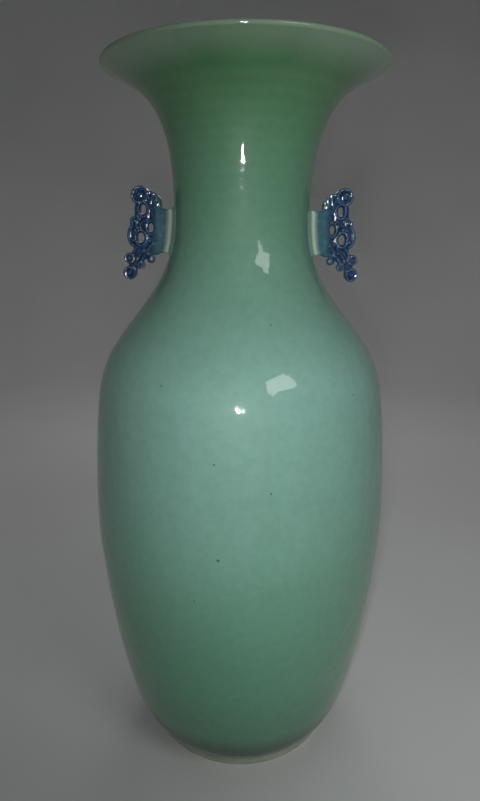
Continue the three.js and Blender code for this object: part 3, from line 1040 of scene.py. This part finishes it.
def blue_glaze(name):
    """Runny blue glaze: dark in the recesses, both as pooled glaze and as painted shade, and milky
    on the ridges, both as thin glaze and as painted highlight; thin and grey on the bracket,
    with a cream strip and then the neck's own green where the bracket was luted on."""
    r = Recipe(name)
    off = r.attribute("off_neck")
    hollow = r.math("ADD", r.attribute("hollow"), r.wander(0.14, 520))
    color = r.mix(r.span(r.noise(120, 4.0, 0.6), 0.35, 0.65), COBALT_DARK, COBALT)
    # Dark in the recesses: pooled glaze, and painted shade
    color = r.mix(r.span(hollow, -0.02, 0.10, 0, 0.8), color, COBALT_POOL_AND_SHADE)
    # Light on the ridges: thin milky glaze, and painted highlight
    color = r.mix(r.span(hollow, -0.04, -0.22, 0, 0.35), color, COBALT_PALE_AND_HIGHLIGHT)
    # Fine pale speckle in the glaze
    color = r.mix(r.span(r.noise(600, 3.0, 0.6), 0.44, 0.78, 0, 0.42), color, COBALT_PALE_AND_HIGHLIGHT)
    wash = r.math("ADD", off, r.wander(5.0, 90))
    thin = r.mix(r.span(r.noise(230, 4.0, 0.65), 0.42, 0.72, 0, 0.4), COBALT_THIN, COBALT_MILK)
    color = r.mix(r.span(wash, 18, 11, 0, 0.95), color, thin)
    # Dark specks in the glaze, in the pooled glaze's colour
    color = r.mix(r.math("MULTIPLY", r.dots(520, 0.10, 0.12), 0.5), color, COBALT_POOL_AND_SHADE)
    edge = r.math("ADD", off, r.wander(1.3, 170, 0.6))
    color = r.mix(r.span(edge, 7.2, 4.2, 0, 0.45), color, CREAM)
    color = r.mix(r.span(edge, 4.5, 3.4), color, CREAM)
    color = r.mix(r.span(edge, 2.2, 1.0), color, SLIP_GREEN)
    runny = r.span(off, 9, 14, 0.12, 1.0)
    body = r.bump(r.noise(300, 3.0, 0.5), 0.0001, 0.6)
    coat = r.bump(r.noise(360, 2.0, 0.5), 0.00010, runny, orange_peel(r, 0.4, r.levelled(3.0)))
    return r.finish(Base_Color=color, **glassy(body, coat, 0.07, 0.1))


# ------------------------------------------------------------------ the vase

celadon = celadon_glaze()
porcelain = bare_porcelain()
cobalt = blue_glaze("cobalt_glaze")
pale_cobalt = blue_glaze("pale_cobalt_glaze")

WALL_NODES = ("lower_body", "upper_body", "neck", "mouth")
SCROLL_NODES = (
    "plaque", "shoulder_leaf", "outer_leaf", "crest_curl",
    "upper_scroll", "lower_scroll", "inner_curl", "pellet",
)

seams = [WALL.reach(height) for height in (BODY_JOINT, NECK_JOINT, MOUTH_JOINT)]
ends = [0.0, *seams, WALL.length]
for node, start, end in zip(WALL_NODES, ends, ends[1:]):
    section = thrown_piece(node + "_thrown", start, end, lip=node == "mouth")
    install(section, celadon, "celadon_glaze", node)
install(foot_ring(), porcelain, "bare_porcelain", "foot_ring")
install(base_floor(), celadon, "celadon_glaze", "base_floor")

for side in HANDLE_RISE:
    points, quads = handle_clay(side).mesh()
    points, hollow = smooth_mesh(points, quads)
    bracket, scrollwork = cut_apart(points, quads, hollow, LUTING)
    block = clay_object(side + "_bracket_block", side, *bracket)
    install(block, pale_cobalt, "pale_cobalt_glaze", side + "_bracket")
    scrolls = clay_object(side + "_scrollwork", side, *scrollwork)
    install(scrolls, cobalt, "cobalt_glaze", *(f"{side}_{node}" for node in SCROLL_NODES))


# ------------------------------------------------------------------ floor, light and camera

COVE_RADIUS = 1.9
COVE_BEND = 0.6
COVE_TOP = 2.6
COVE_SECTORS = 96
PALE = srgb(224, 225, 224)
PALER = srgb(229, 230, 229)


def backdrop():
    """A plain pale round floor that curves up all round into a plain wall, in metres."""
    turn = np.linspace(0, math.pi / 2, 16)
    out = COVE_RADIUS - COVE_BEND + COVE_BEND * np.sin(turn)
    up = COVE_BEND - COVE_BEND * np.cos(turn)
    out, up = np.append(out, COVE_RADIUS), np.append(up, COVE_TOP)
    angle = np.linspace(0, 2 * math.pi, COVE_SECTORS, endpoint=False)
    points = [(0, 0, 0)]
    points += [(a * math.cos(t), a * math.sin(t), b) for a, b in zip(out, up) for t in angle]
    steps = [(i, (i + 1) % COVE_SECTORS) for i in range(COVE_SECTORS)]
    faces = [(0, 1 + i, 1 + j) for i, j in steps]
    for row in range(len(out) - 1):
        low = 1 + row * COVE_SECTORS
        high = low + COVE_SECTORS
        faces += [(low + i, high + i, high + j, low + j) for i, j in steps]
    obj = mesh_object("backdrop", np.array(points) / MM, faces)
    r = Recipe("pale_backdrop")
    shade = r.mix(r.span(r.noise(3), 0.3, 0.7), PALE, PALER)
    finish = {"Base_Color": shade, "Roughness": 0.85, "Specular_IOR_Level": 0.2}
    obj.data.materials.append(r.finish(**finish))


def aim(obj, target):
    """Points a light at a place."""
    direction = Vector(target) - obj.location
    obj.rotation_euler = direction.to_track_quat("-Z", "Y").to_euler()


def area_light(name, place, target, size, watts, glossy=True, spread=180, turn=0):
    """A soft lamp. One that isn't glossy lights the vase and can't be seen in its glaze."""
    data = bpy.data.lights.new(name, "AREA")
    data.shape = "RECTANGLE"
    data.size, data.size_y = size
    data.energy = watts
    data.spread = math.radians(spread)
    obj = link(bpy.data.objects.new(name, data))
    obj.location = place
    obj.visible_glossy = glossy
    aim(obj, target)
    obj.rotation_euler.rotate_axis("Z", math.radians(turn))


EYE = (0.0, -0.5109, 0.4585)  # the photo's camera, in metres
TILT = 15.75  # degrees below level
LENS = 26.966
SENSOR_HEIGHT = 36.0
MIDDLE = (0.0, 0.0, 0.3)
FLASH_PLACE = (EYE[0] - 0.012, EYE[1], EYE[2] - 0.024)
FLASH_TARGET = (0.2, 0.0, 0.31)
FLASH_WATTS = 3.95
FLASH_RADIUS = 0.013
FLASH_ANGLE = math.radians(105)
WORLD_COLOR = (0.95, 0.98, 1.0, 1)
WORLD_STRENGTH = 0.03

backdrop()
area_light("key", (0.18, -0.60, 0.50), (0.02, 0.0, 0.31), (0.2, 0.2), 0.045, False, spread=95)
area_light("sky", (0.3, -0.2, 1.7), MIDDLE, (1.6, 1.6), 0.8, False)
area_light("window", (0.42, -0.62, 0.80), (0.0, 0.0, 0.42), (0.31, 0.21), 0.9, turn=13)
area_light("rear", (0.0, 1.2, 1.35), MIDDLE, (0.9, 0.7), 2.2, False)
area_light("left_rear", (-0.9, 1.1, 1.4), MIDDLE, (0.5, 0.5), 0.7, False)
area_light("right_rear", (0.9, 1.2, 1.5), MIDDLE, (0.5, 0.5), 0.85, False)
area_light("rear_window", (0.0, 1.0, 0.73), MIDDLE, (0.28, 0.16), 0.35, turn=-12)

lamp = bpy.data.lights.new("flash", "SPOT")
lamp.energy = FLASH_WATTS
lamp.shadow_soft_size = FLASH_RADIUS
lamp.spot_size = FLASH_ANGLE
lamp.spot_blend = 1.0
flash = link(bpy.data.objects.new("flash", lamp))
flash.location = FLASH_PLACE
aim(flash, FLASH_TARGET)

world = bpy.data.worlds.new("studio")
world.use_nodes = True
background = world.node_tree.nodes["Background"].inputs
background["Color"].default_value = WORLD_COLOR
background["Strength"].default_value = WORLD_STRENGTH
bpy.context.scene.world = world

camera_data = bpy.data.cameras.new("camera")
camera_data.sensor_fit = "VERTICAL"
camera_data.sensor_height = SENSOR_HEIGHT
camera_data.lens = LENS
camera_data.clip_start = 0.01
camera = link(bpy.data.objects.new("camera", camera_data))
camera.location = EYE
camera.rotation_euler = (math.radians(90 - TILT), 0, 0)
bpy.context.scene.camera = camera
bpy.context.scene.view_settings.view_transform = "Standard"
